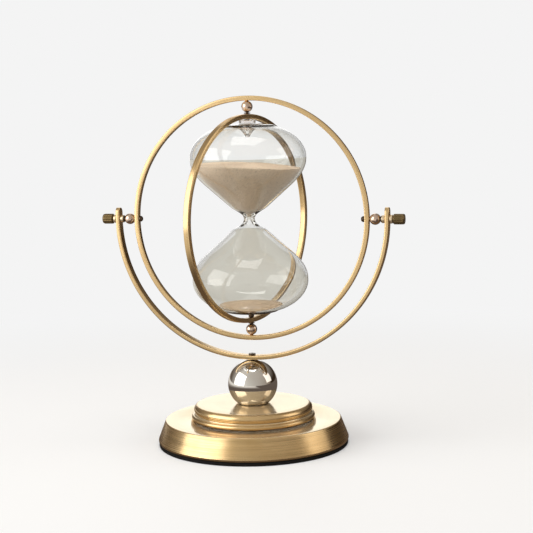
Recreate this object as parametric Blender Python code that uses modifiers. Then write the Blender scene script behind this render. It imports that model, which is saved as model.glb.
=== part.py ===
"""Rotating hourglass: a sand glass held in two nested rings on a forked stand.

Frame: +Z up, X along the outer ring's pivots, origin at the centre of the base's underside.
"""

import math

import bmesh
import bpy
import numpy as np

MM = 0.001
GAP = 0.3 * MM

# ---- driving dimensions ----

PIVOT_HEIGHT = 194.0 * MM

OUTER_RING_RADIUS = 104.2 * MM
INNER_RING_RADIUS = 88.8 * MM
RING_THICKNESS = 4.1 * MM
RING_WIDTH = 5.4 * MM
INNER_RING_TURN = math.radians(72)

FORK_RADIUS = 121.2 * MM
FORK_THICKNESS = 3.7 * MM
FORK_WIDTH = 8.6 * MM
FORK_RISE = 9.8 * MM

PAD_RADIUS = 81.8 * MM
PAD_THICKNESS = 2.8 * MM
BASE_TOP_HEIGHT = 21.8 * MM
BASE_TOP_RADIUS = 75.8 * MM
BASE_FOOT_RADIUS = 82.5 * MM
BASE_WALL = 1.4 * MM
BALLAST_RADIUS = 68.0 * MM
BALLAST_THICKNESS = 5.0 * MM

STEP_TOP_HEIGHT = 34.6 * MM
STEP_RIM_RADIUS = 51.2 * MM
STEP_BEAD_RADIUS = 53.3 * MM
STEP_GROOVE_HEIGHT = 26.2 * MM

STAND_BALL_RADIUS = 21.35 * MM
SMALL_BALL_RADIUS = 4.9 * MM

TIE_BOLT_RADIUS = 2.0 * MM
TIE_BOLT_HEAD_RADIUS = 3.0 * MM
TIE_BOLT_HEAD_HEIGHT = 1.2 * MM
TIE_BOLT_END_HEIGHT = 5.6 * MM
TIE_NUT_FLATS = 7.0 * MM
TIE_NUT_HEIGHT = 3.2 * MM
TIE_WASHER_RADIUS = 6.0 * MM
TIE_WASHER_THICKNESS = 0.8 * MM

SHAFT_RADIUS = 1.5 * MM
BUSH_BARREL_RADIUS = 2.5 * MM
BUSH_FLANGE_RADIUS = 3.7 * MM
BUSH_FLANGE_LENGTH = 2.4 * MM
COLLAR_RADIUS = 3.4 * MM
COLLAR_LENGTH = 2.5 * MM
THRUST_WASHER_RADIUS = 2.8 * MM
THRUST_WASHER_THICKNESS = 0.6 * MM
KNOB_RADIUS = 4.45 * MM
KNOB_LENGTH = 9.8 * MM
KNOB_FLUTES = 16
KNOB_FLUTE_DEPTH = 0.3 * MM
DOME_NUT_RADIUS = 2.6 * MM
DOME_NUT_LENGTH = 2.8 * MM

SWIVEL_SCREW_RADIUS = 1.3 * MM
TOP_SCREW_HEAD_HEIGHT = 1.3 * MM
BOTTOM_SCREW_HEAD_HEIGHT = 2.4 * MM
SWIVEL_SCREW_HEAD_RADIUS = 2.4 * MM
SWIVEL_SCREW_REACH = 2.6 * MM
NECK_NUT_RADIUS = 2.7 * MM
NECK_NUT_LENGTH = 0.9 * MM
TOP_PAD_RADIUS = 7.1 * MM
BOTTOM_PAD_RADIUS = 3.9 * MM

PAD_NIB_TIP_RADIUS = 1.2 * MM
TOP_NIB_RADIUS = 3.0 * MM
TOP_NIB_HEIGHT = 76.2 * MM
BOTTOM_NIB_RADIUS = 2.5 * MM
BOTTOM_NIB_HEIGHT = 79.0 * MM

GLASS_WALL = 1.7 * MM
GLASS_NECK_RADIUS = 4.6 * MM
GLASS_THROAT_RADIUS = 1.1 * MM
GLASS_CONE_START = (16.1 * MM, 10.5 * MM)
GLASS_CONE_END = (36.1 * MM, 28.4 * MM)
GLASS_RADIUS = 49.5 * MM
GLASS_WIDEST_HEIGHT = 52.3 * MM
GLASS_SHOULDER_HEIGHT = 28.0 * MM
GLASS_END_RADIUS = 24.0 * MM
GLASS_END_HEIGHT = 80.8 * MM
GLASS_FLAT_RADIUS = 8.0 * MM
GLASS_RIM_HEIGHT = 79.2 * MM
DIMPLE_RADIUS = 5.2 * MM
DIMPLE_ROUNDING = (1.2 * MM, 1.0 * MM)
TOP_DIMPLE_HEIGHT = 73.6 * MM
TOP_DIMPLE_INNER_HEIGHT = 69.8 * MM
BOTTOM_DIMPLE_HEIGHT = 76.8 * MM
BOTTOM_DIMPLE_INNER_HEIGHT = 74.6 * MM
FILL_HOLE_RADIUS = 0.9 * MM
SEAL_RADIUS = 0.6 * MM

UPPER_SAND_WALL_HEIGHT = 41.0 * MM
UPPER_SAND_CENTRE_HEIGHT = 47.5 * MM
LOWER_SAND_CENTRE_HEIGHT = 71.2 * MM
LOWER_SAND_EDGE_HEIGHT = 76.0 * MM
SAND_THROAT_HEIGHT = 3.0 * MM

LARGE_STEPS = 40
RING_STEPS = 60
GLASS_STEPS = 28
SMALL_STEPS = 14

# ---- scene, collections and materials ----

for old in list(bpy.data.objects):
    bpy.data.objects.remove(old)

parts = bpy.data.collections.new("hourglass")
cutters = bpy.data.collections.new("cutters")
bpy.context.scene.collection.children.link(parts)
bpy.context.scene.collection.children.link(cutters)

FINISHES = {
    "brushed_brass": ((0.52, 0.36, 0.17, 1), 0.34, 1.0),
    "bright_brass": ((0.70, 0.52, 0.30, 1), 0.18, 1.0),
    "champagne": ((0.78, 0.60, 0.50, 1), 0.12, 1.0),
    "chrome": ((0.75, 0.75, 0.76, 1), 0.06, 1.0),
    "dark_steel": ((0.10, 0.08, 0.06, 1), 0.40, 1.0),
    "plain_steel": ((0.45, 0.45, 0.46, 1), 0.40, 1.0),
    "cast_iron": ((0.12, 0.12, 0.12, 1), 0.75, 0.6),
    "black_foam": ((0.02, 0.02, 0.02, 1), 0.85, 0.0),
    "clear_rubber": ((0.85, 0.83, 0.80, 1), 0.25, 0.0),
    "clear_glass": ((0.92, 0.95, 0.95, 1), 0.03, 0.0),
    "sand": ((0.55, 0.45, 0.33, 1), 0.90, 0.0),
}


def give_finish(obj, finish):
    """Give the object a material of its own in the named finish."""
    colour, roughness, metallic = FINISHES[finish]
    material = bpy.data.materials.new(obj.name)
    material.use_nodes = True
    shader = material.node_tree.nodes["Principled BSDF"]
    shader.inputs["Base Color"].default_value = colour
    shader.inputs["Roughness"].default_value = roughness
    shader.inputs["Metallic"].default_value = metallic
    obj.data.materials.clear()
    obj.data.materials.append(material)


def axis_empty(name, height, turn, parent=None):
    """An empty on a joint's axis, which carries the pieces that move on it."""
    empty = bpy.data.objects.new(name, None)
    parts.objects.link(empty)
    empty.parent = parent
    empty.location = (0, 0, height)
    empty.rotation_euler = (0, 0, turn)
    return empty


# ---- modelling helpers ----


def place(obj, finish, parent=None, location=(0, 0, 0), rotation=(0, 0, 0)):
    """Put a finished piece in the parts collection, on its parent."""
    if obj.name not in parts.objects:
        parts.objects.link(obj)
    give_finish(obj, finish)
    obj.parent = parent
    obj.location = location
    obj.rotation_euler = rotation
    return obj


def turned(name, profile, steps, closed):
    """A turned piece about Z: (radius, height) points that run down the outer side."""
    mesh = bpy.data.meshes.new(name)
    count = len(profile)
    edges = [(i, i + 1) for i in range(count - 1)]
    if closed:
        edges.append((count - 1, 0))
    mesh.from_pydata([(r, 0, z) for r, z in profile], edges, [])
    obj = bpy.data.objects.new(name, mesh)
    screw = obj.modifiers.new("turn", "SCREW")
    screw.axis = "Z"
    screw.steps = steps
    screw.render_steps = steps
    screw.use_merge_vertices = True
    screw.merge_threshold = 0.00001
    screw.use_smooth_shade = True
    return obj


def tube_profile(inside, outside, low, high, chamfer=0.0):
    """The section of a tube or a washer, with the outer edges chamfered."""
    if chamfer == 0:
        return [(inside, high), (outside, high), (outside, low), (inside, low)]
    return [
        (inside, high),
        (outside - chamfer, high),
        (outside, high - chamfer),
        (outside, low + chamfer),
        (outside - chamfer, low),
        (inside, low),
    ]


def arc(centre_r, centre_z, radius_r, radius_z, start, end, count):
    """Points on an ellipse's arc; angles in degrees, 0 outwards and 90 up."""
    angles = [math.radians(start + (end - start) * i / count) for i in range(count + 1)]
    return [(centre_r + radius_r * math.cos(a), centre_z + radius_z * math.sin(a)) for a in angles]


def bezier(start, start_handle, end_handle, end, count):
    """Points on a cubic curve, without its first point."""
    points = []
    for i in range(1, count + 1):
        t = i / count
        weights = ((1 - t) ** 3, 3 * t * (1 - t) ** 2, 3 * t * t * (1 - t), t ** 3)
        corners = (start, start_handle, end_handle, end)
        points.append(tuple(sum(w * c[k] for w, c in zip(weights, corners)) for k in (0, 1)))
    return points


def ball_profile(radius, bore, centre, count=8):
    """The section of a ball with a bore through it."""
    limit = math.degrees(math.acos(bore / radius))
    return arc(0, centre, radius, radius, limit, -limit, count)


def as_mesh(obj):
    """Replace an object by the plain mesh that it evaluates to, with its caps welded."""
    bpy.context.scene.collection.objects.link(obj)
    bpy.context.view_layer.update()
    graph = bpy.context.evaluated_depsgraph_get()
    mesh = bpy.data.meshes.new_from_object(obj.evaluated_get(graph))
    solid = bmesh.new()
    solid.from_mesh(mesh)
    bmesh.ops.remove_doubles(solid, verts=solid.verts, dist=0.00001)
    solid.to_mesh(mesh)
    solid.free()
    name = obj.name
    place_in_world = obj.matrix_world.copy()
    bpy.data.objects.remove(obj)
    result = bpy.data.objects.new(name, mesh)
    result.matrix_world = place_in_world
    return result


def plate(name, outlines, thickness):
    """A flat plate in XY from closed outlines; an outline inside another is a hole."""
    curve = bpy.data.curves.new(name, "CURVE")
    curve.dimensions = "2D"
    curve.fill_mode = "BOTH"
    curve.extrude = thickness / 2
    for outline in outlines:
        spline = curve.splines.new("POLY")
        spline.points.add(len(outline) - 1)
        for point, (x, y) in zip(spline.points, outline):
            point.co = (x, y, 0, 1)
        spline.use_cyclic_u = True
    return as_mesh(bpy.data.objects.new(name, curve))


def cutter(obj, location=(0, 0, 0), rotation=(0, 0, 0)):
    """Keep an object as a hidden cutting tool."""
    cutters.objects.link(obj)
    obj.location = location
    obj.rotation_euler = rotation
    obj.hide_render = True
    obj.display_type = "WIRE"
    return obj


def rod_cutter(name, radius, length, location, rotation=(0, 0, 0)):
    """A cutting cylinder along its own Z, centred on its location."""
    profile = [(0, length / 2), (radius, length / 2), (radius, -length / 2), (0, -length / 2)]
    return cutter(as_mesh(turned(name, profile, SMALL_STEPS, False)), location, rotation)


def cut(obj, tool, operation="DIFFERENCE"):
    """Cut an object with a tool, or keep only what the tool covers."""
    modifier = obj.modifiers.new(tool.name, "BOOLEAN")
    modifier.operation = operation
    modifier.solver = "EXACT"
    modifier.object = tool


ALONG_X = (0, math.pi / 2, 0)
ALONG_MINUS_X = (0, -math.pi / 2, 0)
UPSIDE_DOWN = (math.pi, 0, 0)
STANDING_IN_XZ = (math.pi / 2, 0, 0)
SIDES = (("left", ALONG_MINUS_X), ("right", ALONG_X))
ENDS = (("top", (0, 0, 0)), ("bottom", UPSIDE_DOWN))

# ---- stand ----

TIE_BORE = TIE_BOLT_RADIUS + GAP
FORK_INSIDE = FORK_RADIUS - FORK_THICKNESS
FORK_BOTTOM = PIVOT_HEIGHT - FORK_RADIUS


def make_base():
    """Pad, shell, ballast plate and the stepped disc on top."""
    pad = [(0, PAD_THICKNESS), (PAD_RADIUS, PAD_THICKNESS), (PAD_RADIUS, 0), (0, 0)]
    place(turned("base_pad", pad, LARGE_STEPS, False), "black_foam")

    foot = PAD_THICKNESS + GAP
    edge = 1.2 * MM
    foot_round = 2 * edge
    lip = BASE_FOOT_RADIUS - 3.5 * MM
    ceiling = BASE_TOP_HEIGHT - BASE_WALL
    shell = [(TIE_BORE, BASE_TOP_HEIGHT)]
    shell += arc(BASE_TOP_RADIUS - edge, BASE_TOP_HEIGHT - edge, edge, edge, 90, 15, 3)
    shell += arc(BASE_FOOT_RADIUS - foot_round, foot + foot_round, foot_round, foot_round, 15, -90, 4)
    shell += [(lip, foot), (lip - BASE_WALL / 2, foot + BASE_WALL)]
    shell += [(BASE_TOP_RADIUS - edge - BASE_WALL / 2, ceiling), (TIE_BORE, ceiling)]
    place(turned("base_shell", shell, LARGE_STEPS, True), "brushed_brass")

    ballast_top = ceiling - GAP
    ballast = tube_profile(TIE_BORE, BALLAST_RADIUS, ballast_top - BALLAST_THICKNESS, ballast_top)
    place(turned("ballast_plate", ballast, LARGE_STEPS, True), "cast_iron")

    bottom = BASE_TOP_HEIGHT + GAP
    rim_low = STEP_GROOVE_HEIGHT
    rim_middle = (STEP_TOP_HEIGHT + rim_low) / 2
    rim_half = (STEP_TOP_HEIGHT - rim_low) / 2
    rim_round = 4.2 * MM
    rim_centre = STEP_RIM_RADIUS - rim_round
    bead_half = (rim_low - bottom) / 2
    bead_centre = STEP_BEAD_RADIUS - bead_half
    disc = [(TIE_BORE, STEP_TOP_HEIGHT)]
    disc += arc(rim_centre, rim_middle, rim_round, rim_half, 90, -60, 5)
    disc += arc(bead_centre, bottom + bead_half, bead_half, bead_half, 75, -75, 4)
    disc.append((bead_centre, bottom))
    disc.append((TIE_BORE, bottom))
    place(turned("step_disc", disc, LARGE_STEPS, True), "brushed_brass")


def make_pedestal_ball():
    """Ball with a flat underside, clamped between the disc and the fork."""
    low = STEP_TOP_HEIGHT + GAP
    centre = FORK_BOTTOM - GAP - STAND_BALL_RADIUS
    centre += STAND_BALL_RADIUS - math.sqrt(STAND_BALL_RADIUS ** 2 - TIE_BORE ** 2)
    start = math.degrees(math.acos(TIE_BORE / STAND_BALL_RADIUS))
    end = -math.degrees(math.asin((centre - low) / STAND_BALL_RADIUS))
    profile = arc(0, centre, STAND_BALL_RADIUS, STAND_BALL_RADIUS, start, end, 10)
    profile.append((TIE_BORE, low))
    place(turned("pedestal_ball", profile, GLASS_STEPS, True), "chrome")


def make_fork():
    """Flat bar bent to a half circle, with half-round ends that carry the pivots."""
    segments = 48
    outline = [(FORK_RADIUS, FORK_RISE)]
    outline += arc(0, 0, FORK_RADIUS, FORK_RADIUS, 0, -180, segments)
    outline += [(-FORK_RADIUS, FORK_RISE), (-FORK_INSIDE, FORK_RISE)]
    outline += arc(0, 0, FORK_INSIDE, FORK_INSIDE, -180, 0, segments)
    outline += [(FORK_INSIDE, FORK_RISE)]
    fork = plate("fork", [outline], FORK_WIDTH)

    half = FORK_WIDTH / 2
    clear_half = 1.001 * half
    oversize = 1.1 * FORK_RADIUS
    side_view = arc(FORK_RISE - half, 0, half, clear_half, -90, 90, 10)
    side_view += [(-oversize, clear_half), (-oversize, -clear_half)]
    end_shape = plate("fork_end_shape", [side_view], 2 * oversize)
    cutter(end_shape, (0, 0, PIVOT_HEIGHT), ALONG_MINUS_X)
    pivot_bore = rod_cutter("fork_pivot_bore", BUSH_BARREL_RADIUS + GAP, 2 * oversize,
                            (0, 0, PIVOT_HEIGHT), ALONG_X)
    bolt_bore = rod_cutter("fork_bolt_bore", TIE_BORE, 4 * FORK_THICKNESS, (0, 0, FORK_BOTTOM))
    cut(fork, end_shape, "INTERSECT")
    cut(fork, pivot_bore)
    cut(fork, bolt_bore)
    place(fork, "brushed_brass", None, (0, 0, PIVOT_HEIGHT), STANDING_IN_XZ)


def make_tie_bolt():
    """The bolt that clamps fork, ball, disc and base, with its washer and nut."""
    seat = FORK_BOTTOM + FORK_THICKNESS + GAP
    top = seat + TIE_BOLT_HEAD_HEIGHT
    chamfer = 0.4 * MM
    bolt = [
        (0, top),
        (TIE_BOLT_HEAD_RADIUS - chamfer, top),
        (TIE_BOLT_HEAD_RADIUS, top - chamfer),
        (TIE_BOLT_HEAD_RADIUS, seat),
        (TIE_BOLT_RADIUS, seat),
        (TIE_BOLT_RADIUS, TIE_BOLT_END_HEIGHT),
        (0, TIE_BOLT_END_HEIGHT),
    ]
    place(turned("tie_bolt", bolt, SMALL_STEPS, False), "dark_steel")

    washer_top = BASE_TOP_HEIGHT - BASE_WALL - 2 * GAP - BALLAST_THICKNESS
    washer_low = washer_top - TIE_WASHER_THICKNESS
    washer = tube_profile(TIE_BORE, TIE_WASHER_RADIUS, washer_low, washer_top)
    place(turned("tie_bolt_washer", washer, SMALL_STEPS, True), "plain_steel")

    corner = TIE_NUT_FLATS / math.sqrt(3)
    hexagon = arc(0, 0, corner, corner, 0, 300, 5)
    bore = arc(0, 0, TIE_BORE, TIE_BORE, 0, 337.5, 15)
    nut = plate("tie_bolt_nut", [hexagon, bore], TIE_NUT_HEIGHT)
    place(nut, "plain_steel", None, (0, 0, washer_low - GAP - TIE_NUT_HEIGHT / 2))


def make_bushes():
    """Flanged bush through each end of the fork, with a collar on the inside."""
    bore = SHAFT_RADIUS + GAP
    flange_start = FORK_RADIUS + GAP
    flange_end = flange_start + BUSH_FLANGE_LENGTH
    collar_end = FORK_INSIDE - GAP
    collar_start = collar_end - COLLAR_LENGTH
    chamfer = 0.4 * MM
    bush = [
        (bore, flange_end),
        (BUSH_FLANGE_RADIUS - chamfer, flange_end),
        (BUSH_FLANGE_RADIUS, flange_end - chamfer),
        (BUSH_FLANGE_RADIUS, flange_start),
        (BUSH_BARREL_RADIUS, flange_start),
        (BUSH_BARREL_RADIUS, collar_start),
        (bore, collar_start),
    ]
    collar = tube_profile(BUSH_BARREL_RADIUS + GAP, COLLAR_RADIUS, collar_start, collar_end)
    for side, rotation in SIDES:
        piece = turned(side + "_bush", bush, SMALL_STEPS, True)
        place(piece, "bright_brass", None, (0, 0, PIVOT_HEIGHT), rotation)
        piece = turned(side + "_bush_collar", collar, SMALL_STEPS, True)
        place(piece, "bright_brass", None, (0, 0, PIVOT_HEIGHT), rotation)


# ---- outer ring and what turns with it ----


def make_ring(name, radius, parent, bores):
    """A ring of flat bar about the local Y axis, with bores across it."""
    chamfer = 0.4 * MM
    inside = radius - RING_THICKNESS
    half = RING_WIDTH / 2
    profile = [
        (radius - chamfer, half),
        (radius, half - chamfer),
        (radius, chamfer - half),
        (radius - chamfer, -half),
        (inside + chamfer, -half),
        (inside, chamfer - half),
        (inside, half - chamfer),
        (inside + chamfer, half),
    ]
    ring = turned(name, profile, RING_STEPS, True)
    for bore in bores:
        cut(ring, bore)
    place(ring, "brushed_brass", parent, (0, 0, 0), STANDING_IN_XZ)


def make_knob(side, parent, rotation):
    """Fluted knob, blind-bored for the shaft."""
    start = FORK_RADIUS + 2 * GAP + BUSH_FLANGE_LENGTH
    end = start + KNOB_LENGTH
    rounding = 1.2 * MM
    neck = 0.5 * MM
    cap = 2.0 * MM
    bore = SHAFT_RADIUS + GAP
    bore_end = end - cap
    profile = [(0, end)]
    profile += arc(KNOB_RADIUS - rounding, end - rounding, rounding, rounding, 90, 0, 3)
    profile += [
        (KNOB_RADIUS, start + neck),
        (KNOB_RADIUS - neck, start),
        (bore, start),
        (bore, bore_end),
        (0, bore_end),
    ]
    knob = as_mesh(turned(side + "_knob", profile, 2 * KNOB_FLUTES, False))
    for vertex in knob.data.vertices:
        reach = math.hypot(vertex.co.x, vertex.co.y)
        sector = round(math.atan2(vertex.co.y, vertex.co.x) / (math.pi / KNOB_FLUTES))
        if reach > KNOB_RADIUS - rounding / 2 and sector % 2 == 1:
            vertex.co.x *= 1 - KNOB_FLUTE_DEPTH / reach
            vertex.co.y *= 1 - KNOB_FLUTE_DEPTH / reach
    place(knob, "brushed_brass", parent, (0, 0, 0), rotation)


def make_pivots(parent):
    """Shaft, knob, washer, ball and dome nut at each end of the outer ring's axis."""
    bore = SHAFT_RADIUS + GAP
    ball_half = math.sqrt(SMALL_BALL_RADIUS ** 2 - bore ** 2)
    ball_start = OUTER_RING_RADIUS + GAP
    ball_end = ball_start + 2 * ball_half
    washer_start = ball_end + GAP
    ring_inside = OUTER_RING_RADIUS - RING_THICKNESS
    nut_end = ring_inside - GAP
    nut_start = nut_end - DOME_NUT_LENGTH
    dome_cap = 1.1 * MM
    dome_skirt = 0.6 * MM
    knob_cap = 2.4 * MM
    shaft_start = nut_start + dome_cap
    shaft_end = FORK_RADIUS + 2 * GAP + BUSH_FLANGE_LENGTH + KNOB_LENGTH - knob_cap
    shaft = [(0, shaft_end), (SHAFT_RADIUS, shaft_end), (SHAFT_RADIUS, shaft_start), (0, shaft_start)]
    washer = tube_profile(bore, THRUST_WASHER_RADIUS, washer_start, washer_start + THRUST_WASHER_THICKNESS)
    ball = ball_profile(SMALL_BALL_RADIUS, bore, ball_start + ball_half)
    dome = [(0, shaft_start - GAP), (bore, shaft_start - GAP), (bore, nut_end)]
    dome += arc(0, nut_end - dome_skirt, DOME_NUT_RADIUS, DOME_NUT_LENGTH - dome_skirt, 0, -90, 5)
    for side, rotation in SIDES:
        place(turned(side + "_pivot_shaft", shaft, SMALL_STEPS, False), "plain_steel", parent, (0, 0, 0),
              rotation)
        place(turned(side + "_thrust_washer", washer, SMALL_STEPS, True), "dark_steel", parent, (0, 0, 0),
              rotation)
        place(turned(side + "_pivot_ball", ball, SMALL_STEPS, True), "champagne", parent, (0, 0, 0), rotation)
        place(turned(side + "_dome_nut", dome, SMALL_STEPS, False), "dark_steel", parent, (0, 0, 0), rotation)
        make_knob(side, parent, rotation)


def make_swivel_balls(parent):
    """Ball with a spigot through the outer ring, bored from within for the swivel screw."""
    bore = SWIVEL_SCREW_RADIUS + GAP
    ring_inside = OUTER_RING_RADIUS - RING_THICKNESS
    centre = ring_inside - GAP - SMALL_BALL_RADIUS
    start = math.degrees(math.acos(SHAFT_RADIUS / SMALL_BALL_RADIUS))
    end = -math.degrees(math.acos(bore / SMALL_BALL_RADIUS))
    bore_end = centre + SWIVEL_SCREW_REACH + 1.4 * GAP
    profile = [(0, OUTER_RING_RADIUS), (SHAFT_RADIUS, OUTER_RING_RADIUS)]
    profile += arc(0, centre, SMALL_BALL_RADIUS, SMALL_BALL_RADIUS, start, end, 8)
    profile += [(bore, bore_end), (0, bore_end)]
    for where, rotation in ENDS:
        ball = turned(where + "_swivel_ball", profile, SMALL_STEPS, False)
        place(ball, "champagne", parent, (0, 0, 0), rotation)


# ---- inner ring and what turns with it ----


def make_swivels(parent):
    """Screw through the inner ring into each swivel ball, with its neck nut."""
    ring_inside = INNER_RING_RADIUS - RING_THICKNESS
    head_seat = ring_inside - GAP
    ball_centre = OUTER_RING_RADIUS - RING_THICKNESS - GAP - SMALL_BALL_RADIUS
    tip = ball_centre + SWIVEL_SCREW_REACH
    nut_low = INNER_RING_RADIUS + GAP
    bore = SWIVEL_SCREW_RADIUS + GAP
    nut = tube_profile(bore, NECK_NUT_RADIUS, nut_low, nut_low + NECK_NUT_LENGTH)
    head_heights = {"top": TOP_SCREW_HEAD_HEIGHT, "bottom": BOTTOM_SCREW_HEAD_HEIGHT}
    for where, rotation in ENDS:
        head_low = head_seat - head_heights[where]
        screw = [
            (0, tip),
            (SWIVEL_SCREW_RADIUS, tip),
            (SWIVEL_SCREW_RADIUS, head_seat),
            (SWIVEL_SCREW_HEAD_RADIUS, head_seat),
            (SWIVEL_SCREW_HEAD_RADIUS, head_low),
            (0, head_low),
        ]
        piece = turned(where + "_swivel_screw", screw, SMALL_STEPS, False)
        place(piece, "dark_steel", parent, (0, 0, 0), rotation)
        piece = turned(where + "_neck_nut", nut, SMALL_STEPS, True)
        place(piece, "dark_steel", parent, (0, 0, 0), rotation)


def make_pads(parent):
    """Clear seats between the inner ring and the glass, each with a nib in the glass's dimple."""
    ring_inside = INNER_RING_RADIUS - RING_THICKNESS
    screw_seat = ring_inside - GAP
    pad_seat = math.sqrt(ring_inside ** 2 - TOP_PAD_RADIUS ** 2) - 1.5 * GAP
    face = GLASS_END_HEIGHT + GAP
    recess_radius = SWIVEL_SCREW_HEAD_RADIUS + GAP
    recess_end = screw_seat - TOP_SCREW_HEAD_HEIGHT - GAP
    top_pad = [
        (0, recess_end),
        (recess_radius, recess_end),
        (recess_radius, pad_seat),
        (TOP_PAD_RADIUS, pad_seat),
        (TOP_PAD_RADIUS, face),
        (TOP_NIB_RADIUS, face),
        (PAD_NIB_TIP_RADIUS, TOP_NIB_HEIGHT),
        (0, TOP_NIB_HEIGHT),
    ]
    place(turned("top_pad", top_pad, SMALL_STEPS, False), "clear_rubber", parent)

    high = screw_seat - BOTTOM_SCREW_HEAD_HEIGHT - GAP
    bottom_pad = [
        (0, high),
        (BOTTOM_PAD_RADIUS, high),
        (BOTTOM_PAD_RADIUS, face),
        (BOTTOM_NIB_RADIUS, face),
        (PAD_NIB_TIP_RADIUS, BOTTOM_NIB_HEIGHT),
        (0, BOTTOM_NIB_HEIGHT),
    ]
    place(turned("bottom_pad", bottom_pad, SMALL_STEPS, False), "clear_rubber", parent, (0, 0, 0),
          UPSIDE_DOWN)


def bulb_side(inset, neck_radius):
    """Half of the vessel's side, from the neck up to the end's rim, as (radius, height)."""
    rise = GLASS_CONE_END[1] - GLASS_CONE_START[1]
    slope = (GLASS_CONE_END[0] - GLASS_CONE_START[0]) / rise
    shift = inset * math.hypot(1, slope)
    widest = GLASS_RADIUS - inset
    middle = GLASS_WIDEST_HEIGHT
    neck_pull = 5.0 * MM
    cone_pull = 4.2 * MM
    shoulder_pull = 8.5 * MM
    start = (GLASS_CONE_START[0] - shift, GLASS_CONE_START[1])
    end = (GLASS_CONE_END[0] - shift, GLASS_CONE_END[1])
    start_handle = (start[0] - cone_pull, start[1] - cone_pull / slope)
    end_handle = (end[0] + slope * shoulder_pull, end[1] + shoulder_pull)
    points = [(neck_radius, 0)]
    points += bezier((neck_radius, 0), (neck_radius, neck_pull), start_handle, start, 3)
    points += bezier(end, end_handle, (widest, middle - shoulder_pull), (widest, middle), 4)
    shoulder_width = widest - GLASS_FLAT_RADIUS
    shoulder_height = GLASS_SHOULDER_HEIGHT - inset
    rim_angle = math.degrees(math.acos((GLASS_END_RADIUS - GLASS_FLAT_RADIUS) / shoulder_width))
    points += arc(GLASS_FLAT_RADIUS, middle, shoulder_width, shoulder_height, 0, rim_angle, 5)[1:]
    return points


def inner_end(dimple_height):
    """The inside of a bulb's end, from the rim in to the dimple's foot."""
    flat = GLASS_END_HEIGHT - 1.5 * GLASS_WALL
    return [(2 * GLASS_FLAT_RADIUS, flat - GAP), (GLASS_FLAT_RADIUS, flat), (DIMPLE_RADIUS, dimple_height)]


def mirrored(points):
    """The same points below the neck, in reverse order."""
    return [(r, -z) for r, z in reversed(points) if z > 0]


def make_glass(parent):
    """Blown double bulb with dimpled ends; the tip of the top dimple is the fill hole."""
    round_width, round_height = DIMPLE_ROUNDING
    outside = bulb_side(0, GLASS_NECK_RADIUS)
    outside += [(GLASS_END_RADIUS - round_width, GLASS_RIM_HEIGHT)]
    outside += [(GLASS_FLAT_RADIUS, GLASS_END_HEIGHT)]
    outside += [(DIMPLE_RADIUS, GLASS_END_HEIGHT - GAP / 2)]
    outside += [(DIMPLE_RADIUS - round_width, GLASS_END_HEIGHT - round_height)]
    inside = bulb_side(GLASS_WALL, GLASS_THROAT_RADIUS)

    top_outside = outside + [(FILL_HOLE_RADIUS, TOP_DIMPLE_HEIGHT)]
    top_inside = inside + inner_end(TOP_DIMPLE_HEIGHT + GLASS_WALL)
    top_inside += [(FILL_HOLE_RADIUS + 2 * GAP, TOP_DIMPLE_INNER_HEIGHT)]
    top_inside += [(FILL_HOLE_RADIUS, TOP_DIMPLE_INNER_HEIGHT)]
    bottom_outside = outside + [(0, BOTTOM_DIMPLE_HEIGHT)]
    bottom_inside = inside + inner_end(BOTTOM_DIMPLE_HEIGHT) + [(0, BOTTOM_DIMPLE_INNER_HEIGHT)]

    profile = mirrored(bottom_inside)
    profile += top_inside
    profile += [(r, z) for r, z in reversed(top_outside)]
    profile += [(r, -z) for r, z in bottom_outside if z > 0]
    place(turned("glass_vessel", profile, GLASS_STEPS, False), "clear_glass", parent)

    high = TOP_DIMPLE_HEIGHT - GAP
    low = TOP_DIMPLE_INNER_HEIGHT + GAP
    tip = [(0, high), (SEAL_RADIUS, high), (SEAL_RADIUS, low), (0, low)]
    place(turned("glass_seal", tip, SMALL_STEPS, False), "clear_glass", parent)


def make_sand(parent):
    """Sand in both bulbs, just clear of the glass."""
    wall = bulb_side(GLASS_WALL + GAP, GLASS_THROAT_RADIUS - GAP)
    edge = float(np.interp(UPPER_SAND_WALL_HEIGHT, [z for r, z in wall], [r for r, z in wall]))
    side = [(edge, UPPER_SAND_WALL_HEIGHT)]
    side += [(r, z) for r, z in reversed(wall) if SAND_THROAT_HEIGHT < z < UPPER_SAND_WALL_HEIGHT]
    dome = UPPER_SAND_CENTRE_HEIGHT - UPPER_SAND_WALL_HEIGHT
    top = [(edge * k / 5, UPPER_SAND_WALL_HEIGHT + dome * (1 - (k / 5) ** 2)) for k in range(5)]
    upper = top + side + [(0, side[-1][1])]
    place(turned("upper_sand", upper, GLASS_STEPS, False), "sand", parent)

    clearance = 0.5 * MM
    floor = [(r, z) for r, z in wall if z > LOWER_SAND_EDGE_HEIGHT]
    end = inner_end(BOTTOM_DIMPLE_HEIGHT) + [(0, BOTTOM_DIMPLE_INNER_HEIGHT)]
    floor += [(r, z - clearance) for r, z in end]
    edge, edge_height = floor[0]
    rise = edge_height - LOWER_SAND_CENTRE_HEIGHT
    mound = [(edge * k / 4, LOWER_SAND_CENTRE_HEIGHT + rise * (k / 4) ** 2) for k in range(4)]
    lower = [(r, -z) for r, z in mound + floor]
    place(turned("lower_sand", lower, GLASS_STEPS, False), "sand", parent)


# ---- assembly ----

make_base()
make_pedestal_ball()
make_fork()
make_tie_bolt()
make_bushes()

outer_axis = axis_empty("outer_ring_axis", PIVOT_HEIGHT, 0)
inner_axis = axis_empty("inner_ring_axis", 0, INNER_RING_TURN, outer_axis)

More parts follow.
